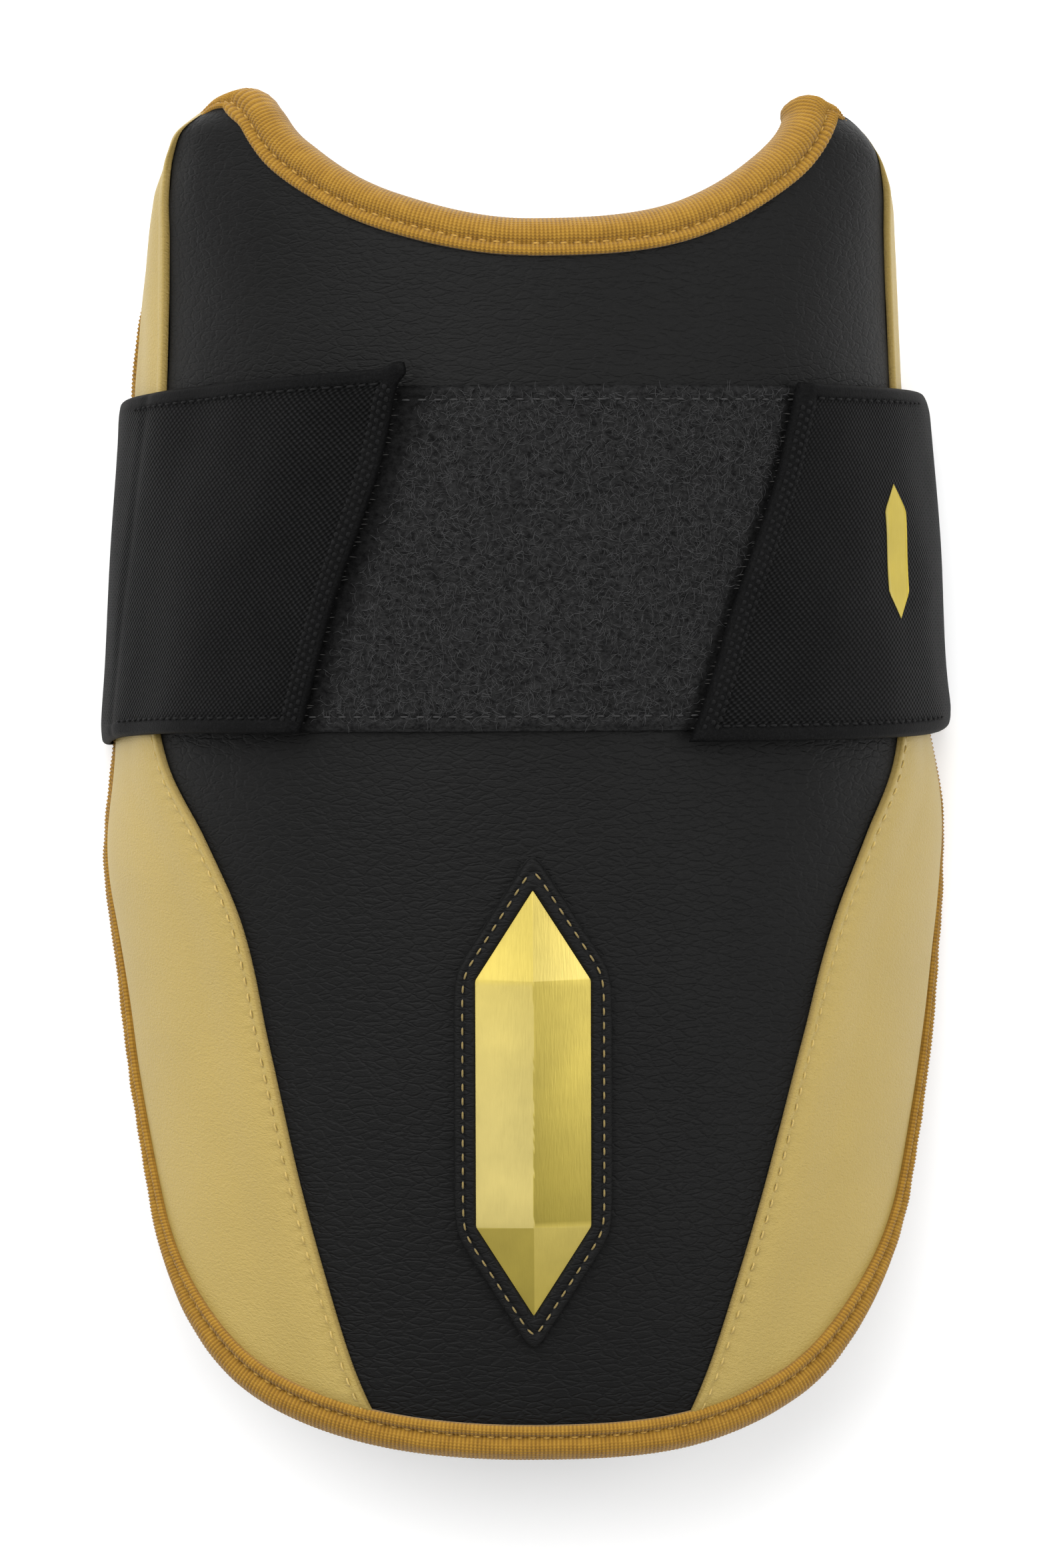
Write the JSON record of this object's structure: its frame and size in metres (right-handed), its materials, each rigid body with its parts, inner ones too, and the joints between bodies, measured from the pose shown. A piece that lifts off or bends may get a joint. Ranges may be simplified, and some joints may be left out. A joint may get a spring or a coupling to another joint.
{
  "type": "elbow guard",
  "caption": "Padded elbow guard: an open trough with leather panels, a bound edge and a faceted badge, closed round the arm by a wide elastic strap with hook-and-loop ends.",
  "frame": {"origin": "on the floor, under the middle of the guard's outline", "axes": "+Z out of the guard's front, +Y towards its two horns, +X to the right as its front is seen"},
  "size_m": [0.149, 0.2351, 0.0715],
  "materials": {
    "lining": "matt black knitted lining over foam",
    "black_leather": "satin black coated leather with a fine crosswise grain",
    "gold_leather": "satin champagne gold coated leather",
    "binding_knit": "ochre ribbed binding tape",
    "loop_pile": "charcoal brushed loop pile",
    "hook_tape": "black hook tape",
    "strap_elastic": "black woven elastic with a twill face",
    "badge_foil": "faceted gold foil"
  },
  "bodies": {
    "root": {"pad_body": "lining", "front_panel": "black_leather", "side_panel_right": "gold_leather", "side_panel_left": "gold_leather", "edge_binding": "binding_knit", "loop_panel": "loop_pile", "hook_tab_left": "hook_tape", "hook_tab_right": "hook_tape", "strap": "strap_elastic", "badge_frame": "black_leather", "badge_inlay": "badge_foil"}
  },
  "joints": []
}
